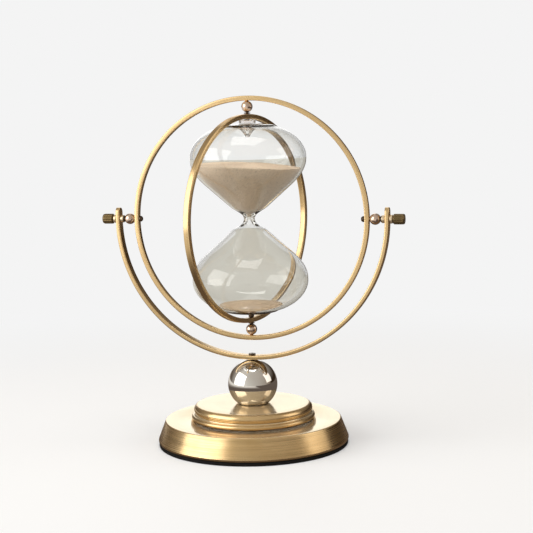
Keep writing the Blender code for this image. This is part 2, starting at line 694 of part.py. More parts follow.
reach = 2.4 * OUTER_RING_RADIUS
centre_point = (0, 0, PIVOT_HEIGHT)
pivot_bores = rod_cutter("outer_pivot_bores", SHAFT_RADIUS + GAP, reach, centre_point, ALONG_X)
swivel_bores = rod_cutter("outer_swivel_bores", SHAFT_RADIUS + GAP, reach, centre_point)
screw_bores = rod_cutter("inner_screw_bores", SWIVEL_SCREW_RADIUS + GAP, reach, centre_point)

make_ring("outer_ring", OUTER_RING_RADIUS, outer_axis, (pivot_bores, swivel_bores))
make_pivots(outer_axis)
make_swivel_balls(outer_axis)

make_ring("inner_ring", INNER_RING_RADIUS, inner_axis, (screw_bores,))
make_swivels(inner_axis)
make_pads(inner_axis)
make_glass(inner_axis)
make_sand(inner_axis)
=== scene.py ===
import math

import bmesh
import bpy
from mathutils import Matrix, Vector, noise


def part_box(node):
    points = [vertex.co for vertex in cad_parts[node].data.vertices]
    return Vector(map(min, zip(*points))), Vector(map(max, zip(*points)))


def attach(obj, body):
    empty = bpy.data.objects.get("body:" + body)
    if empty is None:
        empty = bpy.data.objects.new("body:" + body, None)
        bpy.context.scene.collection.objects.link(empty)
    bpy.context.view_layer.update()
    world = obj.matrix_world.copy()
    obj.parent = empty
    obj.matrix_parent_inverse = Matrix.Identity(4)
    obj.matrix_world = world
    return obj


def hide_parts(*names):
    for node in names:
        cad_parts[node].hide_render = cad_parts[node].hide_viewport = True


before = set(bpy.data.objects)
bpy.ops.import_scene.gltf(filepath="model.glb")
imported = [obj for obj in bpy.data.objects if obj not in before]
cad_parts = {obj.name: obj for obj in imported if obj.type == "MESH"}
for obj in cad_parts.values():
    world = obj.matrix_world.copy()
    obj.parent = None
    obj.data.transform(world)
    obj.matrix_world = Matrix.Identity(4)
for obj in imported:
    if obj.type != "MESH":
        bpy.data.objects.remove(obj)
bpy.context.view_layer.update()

MM = 0.001


# ---- foam foot ----
# A disc of closed-cell black foam under the base. It is die cut, so its rim is square and a
# little crushed, and it is stuck to the foot of the brass shell.


def turned(name, profile, steps, loop=False, bend=None):
    """A turned piece about Z from (radius, height, wear) points that run down the outer side.

    The grain map runs round the piece in U and along the section in V, both in metres.
    bend(angle, radius, height) may move a point in or out, for flutes and flats.
    """
    count = len(profile)
    travel = [0.0]
    for i in range(1, count + 1):
        a = profile[i - 1]
        b = profile[i % count]
        travel.append(travel[-1] + math.hypot(b[0] - a[0], b[1] - a[1]))
    mean = sum(p[0] for p in profile) / count
    work = bmesh.new()
    grain = work.loops.layers.uv.new("grain")
    wear = work.verts.layers.float.new("wear")
    rows = []
    for r, z, worn in profile:
        row = []
        for k in range(steps):
            angle = 2 * math.pi * k / steps
            if r < 1e-7 and k > 0:
                row.append(row[0])
                continue
            reach = bend(angle, r, z) if bend and r > 1e-7 else r
            vert = work.verts.new((reach * math.cos(angle), reach * math.sin(angle), z))
            vert[wear] = worn
            row.append(vert)
        rows.append(row)
    last = count if loop else count - 1
    for i in range(last):
        upper, lower = rows[i], rows[(i + 1) % count]
        for k in range(steps):
            n = (k + 1) % steps
            spots = [(upper[k], k, i), (lower[k], k, i + 1), (lower[n], k + 1, i + 1), (upper[n], k + 1, i)]
            kept = []
            for spot in spots:
                if all(spot[0] is not other[0] for other in kept):
                    kept.append(spot)
            if len(kept) < 3:
                continue
            face = work.faces.new([spot[0] for spot in kept])
            face.smooth = True
            for corner, spot in zip(face.loops, kept):
                corner[grain].uv = (2 * math.pi * mean * spot[1] / steps, travel[spot[2]])
    return finished(name, work)


def finished(name, work):
    """Turn worked geometry into an object in the scene."""
    mesh = bpy.data.meshes.new(name)
    work.to_mesh(mesh)
    work.free()
    piece = bpy.data.objects.new(name, mesh)
    bpy.context.scene.collection.objects.link(piece)
    return piece


def rounded(corners, loop=False, fine=5):
    """A section from (radius, height, edge rounding) corners, as (radius, height, wear) points."""
    points = []
    count = len(corners)
    for i, (x, y, size) in enumerate(corners):
        is_end = not loop and i in (0, count - 1)
        if size == 0 or is_end:
            points.append((x, y, 0.0))
            continue
        here = Vector((x, y))
        back = Vector(corners[i - 1][:2]) - here
        ahead = Vector(corners[(i + 1) % count][:2]) - here
        half = back.angle(ahead) / 2
        limit = 0.49 * min(back.length, ahead.length)
        reach = min(size / math.tan(half), limit)
        size = reach * math.tan(half)
        back.normalize()
        ahead.normalize()
        centre = here + (back + ahead).normalized() * (size / math.sin(half))
        first = here + back * reach - centre
        final = here + ahead * reach - centre
        for k in range(fine + 1):
            t = k / fine
            spoke = first.normalized().slerp(final.normalized(), t) * size
            points.append((centre.x + spoke.x, centre.y + spoke.y, math.sin(math.pi * t)))
    return points


def lathe(name, corners, steps, fine, loop=True, bend=None):
    """A turned piece from (radius, height, edge rounding) corners."""
    return turned(name, rounded(corners, loop, fine), steps, loop, bend)


def stand_up(piece, height, turn=None):
    """Lift a piece to a height, after turning it from its own axis when a turn is given."""
    move = Matrix.Translation((0, 0, height))
    if turn is not None:
        move = move @ turn
    piece.data.transform(move)
    return piece


def fit(piece, material, body, slot, *nodes):
    """Give a piece its finish and its body, and hide the plain solids that it stands for. slot is not used.
    """
    piece.data.materials.clear()
    piece.data.materials.append(material)
    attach(piece, body)
    if nodes:
        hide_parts(*nodes)
    return piece


class Nodes:
    """Short ways to add and join the nodes of a tree."""

    def __init__(self, tree):
        self.tree = tree

    def add(self, kind, settings=None, **sockets):
        """A node with its settings, and its sockets set or joined by name, or by number as i0, i1."""
        made = self.tree.nodes.new("ShaderNode" + kind)
        for key, value in (settings or {}).items():
            setattr(made, key, value)
        for key, value in sockets.items():
            index = key.replace("_", " ")
            if key[0] == "i" and key[1:].isdigit():
                index = int(key[1:])
            self.join(value, made.inputs[index])
        return made

    def join(self, value, socket):
        """Link an output to a socket, or set the socket to a value."""
        if isinstance(value, bpy.types.NodeSocket):
            self.tree.links.new(value, socket)
        else:
            socket.default_value = value

    def maths(self, operation, a, b=0.0):
        return self.add("Math", {"operation": operation}, i0=a, i1=b).outputs[0]

    def blend(self, share, first, second):
        """A colour between two others."""
        return self.add("Mix", {"data_type": "RGBA"}, i0=share, i6=first, i7=second).outputs[2]

    def span(self, value, low, high, to_low=0.0, to_high=1.0, smooth=False):
        """A value carried from one range to another."""
        made = self.add("MapRange", {"interpolation_type": "SMOOTHSTEP" if smooth else "LINEAR"},
                        Value=value, From_Min=low, From_Max=high, To_Min=to_low, To_Max=to_high)
        return made.outputs[0]

    def reach_along(self, where, axis):
        """How far a point lies along an axis."""
        return self.add("VectorMath", {"operation": "DOT_PRODUCT"}, i0=where, i1=axis).outputs["Value"]


class Finish(Nodes):
    """A material with its Principled shader."""

    def __init__(self, name, **sockets):
        self.material = bpy.data.materials.new(name)
        self.material.use_nodes = True
        super().__init__(self.material.node_tree)
        self.shader = self.tree.nodes["Principled BSDF"]
        self.use(**sockets)

    def speckle(self, where, scale, detail=3.0, rough=0.55):
        """Cloudy noise at a scale in cycles per metre."""
        made = self.add("TexNoise", None, Vector=where, Scale=scale, Detail=detail, Roughness=rough)
        return made.outputs[0]

    def brushed(self, along, across, detail=3.0):
        """Streaks that run along the grain map's U: cycles per metre along and across them."""
        grain = self.add("UVMap", {"uv_map": "grain"}).outputs[0]
        scaled = self.add("Mapping", None, Vector=grain, Scale=(along, across, 1.0)).outputs[0]
        return self.speckle(scaled, 1.0, detail, 0.6)

    def place(self):
        """Where a point lies on the piece, in metres."""
        return self.add("TexCoord").outputs["Object"]

    def relief(self, height, depth, strength=1.0):
        """A fine relief from a height between 0 and 1 and its depth in metres."""
        bump = self.add("Bump", None, Height=height, Distance=depth, Strength=strength)
        self.join(bump.outputs[0], self.shader.inputs["Normal"])

    def use(self, **sockets):
        """Set or join the shader's own sockets."""
        for socket, value in sockets.items():
            self.join(value, self.shader.inputs[socket.replace("_", " ")])
        return self.material

    def light(self, colour):
        """A shader that gives out a colour, whatever falls on it."""
        return self.add("Emission", None, Color=colour, Strength=1.0).outputs[0]

    def part_way(self, share, first, second):
        """A shader between two others."""
        return self.add("MixShader", None, i0=share, i1=first, i2=second).outputs[0]

    def show(self, shader):
        """Show a shader of the material's own in place of the Principled one."""
        self.join(shader, self.tree.nodes["Material Output"].inputs["Surface"])
        return self.material


def foam():
    """Black closed-cell foam: fine pores with painted shade in their pits, a dusty grey bloom, no gloss."""
    f = Finish("black_foam", Specular_IOR_Level=0.15)
    where = f.place()
    pores = f.add("TexVoronoi", None, Vector=where, Scale=1400.0).outputs["Distance"]
    bloom = f.speckle(where, 60.0)
    colour = f.blend(bloom, (0.006, 0.005, 0.005, 1), (0.016, 0.015, 0.014, 1))
    # Painted shade: the pits of the pores are darkened towards black.
    colour = f.blend(f.span(pores, 0.1, 0.6, 0.6, 0.0), colour, (0.004, 0.004, 0.004, 1))
    f.relief(pores, 0.15 * MM)
    return f.use(Base_Color=colour, Roughness=f.span(bloom, 0.3, 0.7, 0.82, 0.97))


pad_low, pad_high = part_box("base_pad")
pad_bulge = 0.12 * MM
pad_section = [
    (0, pad_high.z, 0),
    (pad_high.x - 0.3 * MM, pad_high.z, 0.5 * MM),
    (pad_high.x, (pad_high.z + pad_low.z) / 2, 1.5 * MM),
    (pad_high.x - pad_bulge, pad_low.z, 0.25 * MM),
    (0, pad_low.z, 0),
]
foot = lathe("foam_foot", pad_section, 160, 5, False)
fit(foot, foam(), "stand", "black_foam", "base_pad")


# ---- base shell ----
# A cone of sheet brass, spun over a former: the lathe leaves fine lines round its side, its
# top is polished flatter and carries a painted highlight of paler, brighter brass, and the foot
# is rolled in under the rim.


def brass(name, tone, roughness, streak=1.0, polish=0.0, turn=0.25):
    """Brushed antique brass: lines along the grain, cloudy tarnish, bright rubbed edges.

    streak is the strength of the lines, polish runs from 0 for brushed to 1 for buffed, and turn
    is the direction of the sheen, as a share of a full turn from the grain.
    """
    f = Finish(name, Metallic=1.0 - 0.3 * polish, Anisotropic=0.55 * (1 - polish), Anisotropic_Rotation=turn)
    tangent = f.add("Tangent", {"direction_type": "UV_MAP", "uv_map": "grain"}).outputs[0]
    where = f.place()
    hair = f.brushed(10.0, 2600.0, 2.0)
    line = f.brushed(14.0, 1300.0)
    band = f.brushed(9.0, 260.0, 2.0)
    cloud = f.speckle(where, 38.0)
    lines = f.maths("ADD", f.maths("MULTIPLY", line, 0.6), f.maths("MULTIPLY", band, 0.4))
    light = tuple(min(1.0, c * (1 + 0.16 * streak)) for c in tone) + (1,)
    shade = tuple(c * (1 - 0.26 * streak) for c in tone) + (1,)
    colour = f.blend(f.span(lines, 0.36, 0.64), shade, light)
    browning = (0.74, 0.66, 0.50)
    tarnish = tuple(c * k for c, k in zip(tone, browning)) + (1,)
    colour = f.blend(f.span(cloud, 0.45, 0.75, 0.0, 0.45 * streak), colour, tarnish)
    rubbed = tuple(min(1.0, c * 1.25 + 0.04) for c in tone) + (1,)
    edge = f.add("Attribute", {"attribute_name": "wear"}).outputs["Fac"]
    rub = f.maths("MULTIPLY", edge, f.span(cloud, 0.3, 0.6, 0.35, 0.9))
    colour = f.blend(rub, colour, rubbed)
    rough = f.maths("ADD", f.span(line, 0.3, 0.7, roughness * 0.82, roughness * 1.22),
                    f.span(cloud, 0.4, 0.75, 0.0, 0.05))
    rough = f.maths("SUBTRACT", rough, f.maths("MULTIPLY", rub, roughness * 0.3))
    scratch_depth = 0.003 * MM * streak
    scratches = f.maths("ADD", f.maths("MULTIPLY", hair, 0.4), f.maths("MULTIPLY", line, 0.6))
    f.relief(scratches, scratch_depth, 0.25)
    return f.use(Base_Color=colour, Roughness=rough, Tangent=tangent)


BRASS_TONE = (0.74, 0.54, 0.29)
shell_brass = brass("spun_brass", BRASS_TONE, 0.26, 1.0)
# The top's paler, brighter tone is a painted highlight that stands for the bright room it mirrors; its lower
# roughness is real polish.
top_brass_painted_highlight = brass("polished_top_brass_painted_highlight", (0.79, 0.64, 0.42), 0.14, 0.3, 0.85)

shell_low, shell_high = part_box("base_shell")
shell_wall = 1.4 * MM
shell_top_radius = 75.8 * MM
shell_lip_height = 1.6 * MM
shell_foot_outside = shell_high.x - 1.0 * MM
shell_foot_inside = shell_high.x - 3.5 * MM
shell_side_inside = shell_high.x - 4.2 * MM
shell_top_inside = shell_top_radius - 1.9 * MM
bolt_hole = 2.3 * MM
shell_section = [
    (bolt_hole, shell_high.z, 0),
    (shell_top_radius, shell_high.z, 1.3 * MM),
    (shell_high.x, shell_low.z + shell_lip_height, 2.6 * MM),
    (shell_foot_outside, shell_low.z, 0.8 * MM),
    (shell_foot_inside, shell_low.z, 0.4 * MM),
    (shell_side_inside, shell_low.z + shell_wall, 0.4 * MM),
    (shell_top_inside, shell_high.z - shell_wall, 0.8 * MM),
    (bolt_hole, shell_high.z - shell_wall, 0),
]


def polish_top_painted_highlight(piece, least_up):
    """Give the faces that look up the polished finish, whose paler, brighter tone is a painted highlight."""
    piece.data.materials.append(top_brass_painted_highlight)
    for face in piece.data.polygons:
        if face.normal.z > least_up:
            face.material_index = 1


base = lathe("spun_base_shell", shell_section, 224, 7)
fit(base, shell_brass, "stand", "brushed_brass", "base_shell")
polish_top_painted_highlight(base, 0.9)


# ---- ballast, washer and nut ----
# Inside the shell: a cast-iron plate that keeps the stand from tipping, and the plain steel
# washer and nut that pull the whole stem together on the bolt.


def cast_iron():
    """Sand-cast iron with a rough skin and a little rust."""
    f = Finish("cast_iron", Metallic=0.7)
    where = f.place()
    skin = f.speckle(where, 900.0, 5.0)
    rust = f.speckle(where, 70.0, 4.0)
    colour = f.blend(f.span(skin, 0.3, 0.7), (0.05, 0.05, 0.052, 1), (0.11, 0.105, 0.10, 1))
    colour = f.blend(f.span(rust, 0.58, 0.72, 0.0, 0.6), colour, (0.16, 0.065, 0.03, 1))
    f.relief(skin, 0.2 * MM)
    return f.use(Base_Color=colour, Roughness=f.span(skin, 0.3, 0.7, 0.65, 0.85))


def plain_steel():
    """Zinc-plated steel with faint blue-yellow colour and turning marks."""
    f = Finish("plain_steel", Metallic=1.0)
    where = f.place()
    film = f.speckle(where, 220.0)
    marks = f.speckle(where, 3000.0, 4.0)
    colour = f.blend(f.span(film, 0.35, 0.65), (0.50, 0.50, 0.54, 1), (0.60, 0.56, 0.44, 1))
    f.relief(marks, 0.02 * MM)
    return f.use(Base_Color=colour, Roughness=f.span(marks, 0.3, 0.7, 0.28, 0.46))


def keep_node(name, material):
    """Keep a plain solid as it is, with a better finish."""
    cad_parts[name].data.materials.clear()
    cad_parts[name].data.materials.append(material)


steel = plain_steel()
keep_node("ballast_plate", cast_iron())
for hidden in ("tie_bolt_washer", "tie_bolt_nut", "left_pivot_shaft", "right_pivot_shaft"):
    keep_node(hidden, steel)


# ---- stepped disc ----
# A turned brass disc on the base: a bullnose rim over a groove, and a wider bead below it.
# Its top is polished and carries a painted highlight of paler brass, and the turning lines
# run round its edge.

step_low, step_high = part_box("step_disc")
rim_radius = 51.2 * MM
rim_round = 4.2 * MM
groove_height = 26.2 * MM
groove_depth = 1.2 * MM
bead_half = (groove_height - step_low.z) / 2
rim_half = (step_high.z - groove_height) / 2


def oval(centre_r, centre_z, width, height, start, end, count):
    """Points on an ellipse's arc; angles in degrees, 0 outwards and 90 up."""
    points = []
    for k in range(count + 1):
        a = math.radians(start + (end - start) * k / count)
        points.append((centre_r + width * math.cos(a), centre_z + height * math.sin(a), 0.0))
    return points


def handled(radius, height):
    """How far the disc's edge is rubbed by handling: only outside the groove."""
    shows = radius > rim_radius - groove_depth and abs(height - groove_height) > groove_depth
    return 0.5 if shows else 0.0


top_rows = (2.3, 6.0, 12.0, 20.0, 30.0, 40.0)
disc_section = [(r * MM, step_high.z, 0.0) for r in top_rows]
disc_section += oval(rim_radius - rim_round, step_high.z - rim_half, rim_round, rim_half, 90, -58, 18)
disc_section += oval(step_high.x - bead_half, step_low.z + bead_half, bead_half, bead_half, 78, -90, 14)
disc_section += [(bolt_hole, step_low.z, 0.0)]
disc_section = [(r, z, handled(r, z)) for r, z, _ in disc_section]
disc = turned("turned_step_disc", disc_section, 224, True)
fit(disc, shell_brass, "stand", "brushed_brass", "step_disc")
polish_top_painted_highlight(disc, 0.95)


# ---- pedestal ball ----
# A steel ball with a small flat ground on its underside, nickel-chromium plated and buffed
# to a mirror. The bolt runs through it from the fork to the base.


def mirror_plate(name, tone, roughness):
    """Bright plating: a mirror with fine hairlines and a faint film of handling."""
    f = Finish(name, Metallic=1.0)
    where = f.place()
    film = f.speckle(where, 55.0, 4.0)
    buffing = f.add("Mapping", None, Vector=where, Scale=(900.0, 900.0, 9000.0), Rotation=(0.4, 0.2, 0.0))
    hairline = f.speckle(buffing.outputs[0], 1.0, 2.0, 0.5)
    dull = tuple(c * 0.90 for c in tone) + (1,)
    colour = f.blend(f.span(film, 0.4, 0.7, 0.0, 0.6), tone + (1,), dull)
    rough = f.maths("ADD", f.span(film, 0.4, 0.75, roughness, roughness * 1.8),
                    f.span(hairline, 0.62, 0.75, 0.0, 0.05))
    f.relief(hairline, 0.002 * MM, 0.5)
    return f.use(Base_Color=colour, Roughness=rough)


chrome = mirror_plate("polished_chrome", (0.80, 0.78, 0.76), 0.035)
ball_low, ball_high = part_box("pedestal_ball")
ball_radius = ball_high.x
ball_centre = ball_high.z - math.sqrt(ball_radius ** 2 - bolt_hole ** 2)
flat_angle = -math.degrees(math.asin((ball_centre - ball_low.z) / ball_radius))
hole_angle = math.degrees(math.acos(bolt_hole / ball_radius))
flat_ease = 1.2
flat_radius = ball_radius * math.cos(math.radians(flat_angle)) - 0.2 * MM
ball_section = oval(0, ball_centre, ball_radius, ball_radius, hole_angle, flat_angle + flat_ease, 72)
ball_section += [(flat_radius, ball_low.z, 0.0), (bolt_hole, ball_low.z, 0.0)]
ball = turned("pedestal_ball_polished", ball_section, 160, True)
fit(ball, chrome, "stand", "polished_chrome", "pedestal_ball")


# ---- fork ----
# A flat brass bar bent to a half circle on a jig, with its long edges eased. Both ends rise
# a little past the half circle, are rounded off, and carry the pivots.

ring_low, ring_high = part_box("outer_ring")
pivot_height = (ring_low.z + ring_high.z) / 2
fork_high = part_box("fork")[1]
fork_radius = fork_high.x
fork_thickness = 3.7 * MM
fork_half = fork_high.y
fork_rise = fork_high.z - pivot_height
bar_brass = brass("brushed_bar_brass", BRASS_TONE, 0.24, 0.9)


def bar_section(thickness, half_width, ease):
    """A flat bar's section as (outward, across, wear), centred on the bar's middle."""
    t = thickness / 2
    ease = min(ease, 0.98 * half_width, 0.98 * t)
    corners = [(t, half_width, ease), (t, -half_width, ease), (-t, -half_width, ease), (-t, half_width, ease)]
    return rounded(corners, True)


def bent_bar(name, stations, thickness, ease):
    """A bar along stations of (middle, outward, half width, distance), with closed ends."""
    work = bmesh.new()
    grain = work.loops.layers.uv.new("grain")
    wear = work.verts.layers.float.new("wear")
    rows = []
    for middle, outward, half_width, travel in stations:
        row = []
        for out, across, worn in bar_section(thickness, half_width, ease):
            vert = work.verts.new(middle + outward * out + Vector((0, across, 0)))
            vert[wear] = worn
            row.append(vert)
        rows.append((row, travel))
    count = len(rows[0][0])
    for (row, start), (following, stop) in zip(rows, rows[1:]):
        girth = 0.0
        for k in range(count):
            n = (k + 1) % count
            step = (row[n].co - row[k].co).length
            face = work.faces.new((row[k], row[n], following[n], following[k]))
            face.smooth = True
            places = ((start, girth), (start, girth + step), (stop, girth + step), (stop, girth))
            for corner, uv in zip(face.loops, places):
                corner[grain].uv = uv
            girth += step
    for row, flip in ((rows[0][0], False), (rows[-1][0], True)):
        work.faces.new(row if flip else list(reversed(row)))
    bmesh.ops.recalc_face_normals(work, faces=work.faces)
    return finished(name, work)


def fork_stations():
    """Down the left arm, round the half circle and up the right arm."""
    middle_radius = fork_radius - fork_thickness / 2
    end_steps = 14
    bends = 120
    straight_end = 1.5 * MM
    least_width = 0.35 * MM
    drops = [fork_half * (1 - math.cos(math.pi / 2 * k / end_steps)) for k in range(end_steps)]
    heights = [fork_rise - drop for drop in drops] + [fork_rise - fork_half - straight_end, straight_end]
    left_arm = []
    for z in heights:
        share = 1 - min(1.0, (fork_rise - z) / fork_half)
        width = fork_half * math.sqrt(max(0.0, 1 - share ** 2))
        left_arm.append((Vector((-middle_radius, 0, z)), Vector((-1, 0, 0)), max(width, least_width)))
    half_circle = []
    for k in range(bends + 1):
        a = math.pi + math.pi * k / bends
        spoke = Vector((math.cos(a), 0, math.sin(a)))
        half_circle.append((spoke * middle_radius, spoke, fork_half))
    right_arm = [(Vector((-m.x, 0, m.z)), Vector((1, 0, 0)), width) for m, _, width in reversed(left_arm)]
    travel = 0.0
    line = []
    for middle, outward, width in left_arm + half_circle + right_arm:
        middle = middle + Vector((0, 0, pivot_height))
        if line:
            travel += (middle - line[-1][0]).length
        line.append((middle, outward, width, travel))
    return line


def bored(piece, *holes):
    """Drill round holes along X, of (centre, radius, length), through a piece."""
    drills = []
    for centre, radius, length in holes:
        work = bmesh.new()
        bmesh.ops.create_cone(work, cap_ends=True, segments=48, radius1=radius, radius2=radius, depth=length)
        across = Matrix.Translation(centre) @ Matrix.Rotation(math.pi / 2, 4, "Y")
        bmesh.ops.transform(work, matrix=across, verts=work.verts)
        drill = finished("drill", work)
        cut = piece.modifiers.new("bore", "BOOLEAN")
        cut.object = drill
        cut.solver = "EXACT"
        drills.append(drill)
    drilled = piece.evaluated_get(bpy.context.evaluated_depsgraph_get())
    mesh = bpy.data.meshes.new_from_object(drilled)
    mesh.set_sharp_from_angle(angle=math.radians(50))
    piece.modifiers.clear()
    piece.data = mesh
    for drill in drills:
        bpy.data.objects.remove(drill)


fork_ease = 0.9 * MM
bush_bore = 2.6 * MM
drill_length = 8 * MM
right_end = Vector((fork_radius - fork_thickness / 2, 0, pivot_height))
left_end = Vector((-right_end.x, 0, right_end.z))
fork = bent_bar("bent_fork", fork_stations(), fork_thickness, fork_ease)
bored(fork, (right_end, bush_bore, drill_length), (left_end, bush_bore, drill_length))
fit(fork, bar_brass, "stand", "brushed_brass", "fork")


# ---- tie bolt ----
# The long bolt that clamps the fork, the ball, the disc and the base. Only its low blackened
# head shows, on the inside of the fork's lowest point, with a hexagon socket.


def black_steel():
    """Blackened steel: brown-black oxide, oily, rubbed to grey on its edges."""
    f = Finish("dark_steel", Metallic=0.9)
    where = f.place()
    oxide = f.speckle(where, 700.0, 4.0)
    edge = f.add("Attribute", {"attribute_name": "wear"}).outputs["Fac"]
    colour = f.blend(f.span(oxide, 0.3, 0.7), (0.045, 0.032, 0.024, 1), (0.12, 0.085, 0.060, 1))
    colour = f.blend(f.maths("MULTIPLY", edge, 0.5), colour, (0.34, 0.27, 0.21, 1))
    f.relief(oxide, 0.01 * MM)
    return f.use(Base_Color=colour, Roughness=f.span(oxide, 0.3, 0.7, 0.22, 0.38))


oxide_steel = black_steel()
bolt_low, bolt_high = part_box("tie_bolt")
bolt_head_radius = 3.0 * MM
bolt_head_height = 1.2 * MM
bolt_shank_radius = 2.0 * MM
socket_radius = 1.25 * MM
socket_floor = bolt_high.z - 0.9 * MM
socket_depth = 0.8 * MM
bolt_section = [
    (0, socket_floor, 0),
    (socket_radius, bolt_high.z - socket_depth, 0.05 * MM),
    (socket_radius, bolt_high.z, 0.05 * MM),
    (bolt_head_radius, bolt_high.z, 0.45 * MM),
    (bolt_head_radius, bolt_high.z - bolt_head_height, 0.1 * MM),
    (bolt_shank_radius, bolt_high.z - bolt_head_height, 0.05 * MM),
    (bolt_shank_radius, bolt_low.z, 0.3 * MM),
    (0, bolt_low.z, 0),
]


def hex_socket(angle, radius, height):
    """Six flats where the radius is the socket's, at any height."""
    if radius > socket_radius + 0.1 * MM:
        return radius
    half_flat = math.pi / 6
    wider = 1.05
    sector = math.fmod(angle, 2 * half_flat) - half_flat
    return radius * math.cos(half_flat) / math.cos(sector) * wider


bolt = lathe("tie_bolt_socket_head", bolt_section, 72, 4, False, hex_socket)
fit(bolt, oxide_steel, "stand", "dark_steel", "tie_bolt")


# ---- bushes and collars ----
# A flanged brass bush runs through each end of the fork, with a plain brass collar on the
# inside. Both are turned bright and left unlacquered.

TO_RIGHT = Matrix.Rotation(math.pi / 2, 4, "Y")
TO_LEFT = Matrix.Rotation(-math.pi / 2, 4, "Y")
SIDES = (("left", TO_LEFT), ("right", TO_RIGHT))
bright_brass = brass("bright_turned_brass", (0.86, 0.70, 0.50), 0.15, 0.5, 0.4)
shaft_hole = 1.8 * MM
barrel_radius = 2.5 * MM
flange_radius = 3.7 * MM
gap = 0.3 * MM
flange_start = fork_radius + gap
flange_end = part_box("right_bush")[1].x
collar_low, collar_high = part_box("right_bush_collar")
collar_radius = collar_high.y
collar_hole = barrel_radius + 0.1 * MM
bush_section = [
    (shaft_hole, flange_end, 0.15 * MM),
    (flange_radius - 0.5 * MM, flange_end, 0.3 * MM),
    (flange_radius, flange_end - 0.6 * MM, 0.5 * MM),
    (flange_radius, flange_start, 0.15 * MM),
    (barrel_radius, flange_start, 0.05 * MM),
    (barrel_radius, collar_low.x, 0.15 * MM),
    (shaft_hole, collar_low.x, 0.1 * MM),
]
collar_section = [
    (collar_hole, collar_high.x, 0.1 * MM),
    (collar_radius, collar_high.x, 0.35 * MM),
    (collar_radius, collar_low.x, 0.45 * MM),
    (collar_hole, collar_low.x, 0.1 * MM),
]


def mount(piece, turn, material, body, slot, node):
    """Turn a piece from its own axis, lift it to the pivots and fit it."""
    fit(stand_up(piece, pivot_height, turn), material, body, slot, node)


for side, turn in SIDES:
    bush = lathe(side + "_flanged_bush", bush_section, 64, 4)
    mount(bush, turn, bright_brass, "stand", "bright_brass", side + "_bush")
    collar = lathe(side + "_inner_collar", collar_section, 64, 4)
    mount(collar, turn, bright_brass, "stand", "bright_brass", side + "_bush_collar")


# ---- rings ----
# Two rings of flat brass bar, rolled and brazed end to end, then linished along their length.
# The outer one turns in the fork, and the inner one swivels inside it.

LYING_TO_STANDING = Matrix.Rotation(math.pi / 2, 4, "X")
ring_thickness = 4.1 * MM
ring_ease = 0.75 * MM


def flat_ring(name, outer_radius, half_width):
    """A ring of flat bar about Z."""
    inside = outer_radius - ring_thickness
    corners = [(outer_radius, half_width, ring_ease), (outer_radius, -half_width, ring_ease)]
    corners += [(inside, -half_width, ring_ease), (inside, half_width, ring_ease)]
    return lathe(name, corners, 288, 5)


outer_radius = ring_high.x
ring_half_width = ring_high.y
outer = flat_ring("outer_ring_bar", outer_radius, ring_half_width)
stand_up(outer, pivot_height, LYING_TO_STANDING)
fit(outer, bar_brass, "outer_ring", "brushed_brass", "outer_ring")

inner_low, inner_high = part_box("inner_ring")
inner_radius = (inner_high.z - inner_low.z) / 2
TURNED_IN = Matrix.Rotation(math.radians(72), 4, "Z")
inner = flat_ring("inner_ring_bar", inner_radius, ring_half_width)
stand_up(inner, pivot_height, TURNED_IN @ LYING_TO_STANDING)
fit(inner, bar_brass, "inner_ring", "brushed_brass", "inner_ring")


# ---- knobs ----
# Turned brass knobs on the ends of the pivot shafts, with straight flutes cut along them for
# the fingers, a domed end and a dark undercut against the bush.

knob_low, knob_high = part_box("right_knob")
knob_radius = knob_high.y
knob_start = knob_low.x
knob_end = knob_high.x
knob_bore_end = knob_end - 2.0 * MM
flutes_start = knob_start + 0.6 * MM
flutes_end = knob_end - 0.9 * MM
knob_flutes = 14
flute_depth = 0.45 * MM
knob_brass = brass("knob_brass", (0.19, 0.135, 0.063), 0.24, 0.8, 0.3)
knob_section = [
    (0, knob_end, 0),
    (knob_radius - 0.5 * MM, knob_end - 0.15 * MM, 0.9 * MM),
    (knob_radius, knob_end - 1.5 * MM, 0.8 * MM),
    (knob_radius, knob_start + 1.0 * MM, 0.35 * MM),
    (knob_radius - 0.9 * MM, knob_start, 0.2 * MM),
    (shaft_hole, knob_start, 0.05 * MM),
    (shaft_hole, knob_bore_end, 0.05 * MM),
    (0, knob_bore_end, 0),
]


def knob_profile():
    """The knob's section with enough rings along its grip for the flutes to run out."""
    grip_rings = 10
    grip_radius = knob_radius - 0.1 * MM
    points = rounded(knob_section, False, 6)
    dense = []
    for a, b in zip(points, points[1:]):
        dense.append(a)
        length = math.hypot(b[0] - a[0], b[1] - a[1])
        if a[0] > grip_radius and b[0] > grip_radius and length > 1 * MM:
            for k in range(1, grip_rings):
                dense.append(tuple(p + (q - p) * k / grip_rings for p, q in zip(a, b)))
    dense.append(points[-1])
    return dense


def fluted(angle, radius, height):
    """Scooped flutes that fade out at both ends of the grip."""
    if radius < knob_radius - 0.8 * MM:
        return radius
    foot_fade = min(1.0, max(0.0, (height - flutes_start) / (0.7 * MM)))
    end_fade = min(1.0, max(0.0, (flutes_end - height) / (0.9 * MM)))
    ridge = abs(math.sin(angle * knob_flutes / 2)) ** 0.7
    return radius - flute_depth * foot_fade * end_fade * (1 - ridge)


for side, turn in SIDES:
    knob = turned(side + "_fluted_knob", knob_profile(), knob_flutes * 10, False, fluted)
    mount(knob, turn, knob_brass, "outer_ring", "brushed_brass", side + "_knob")


# ---- pivot balls, washers and dome nuts ----
# On each shaft, from the fork inwards: a thin blackened washer, a plated ball that spaces the
# ring from the fork, the ring itself, and a small blackened dome nut inside it.


def tube(hole, radius, start, end, ease):
    """The corners of a plain tube's section, with its outer edges eased."""
    return [(hole, end, 0), (radius, end, ease), (radius, start, ease), (hole, start, 0)]


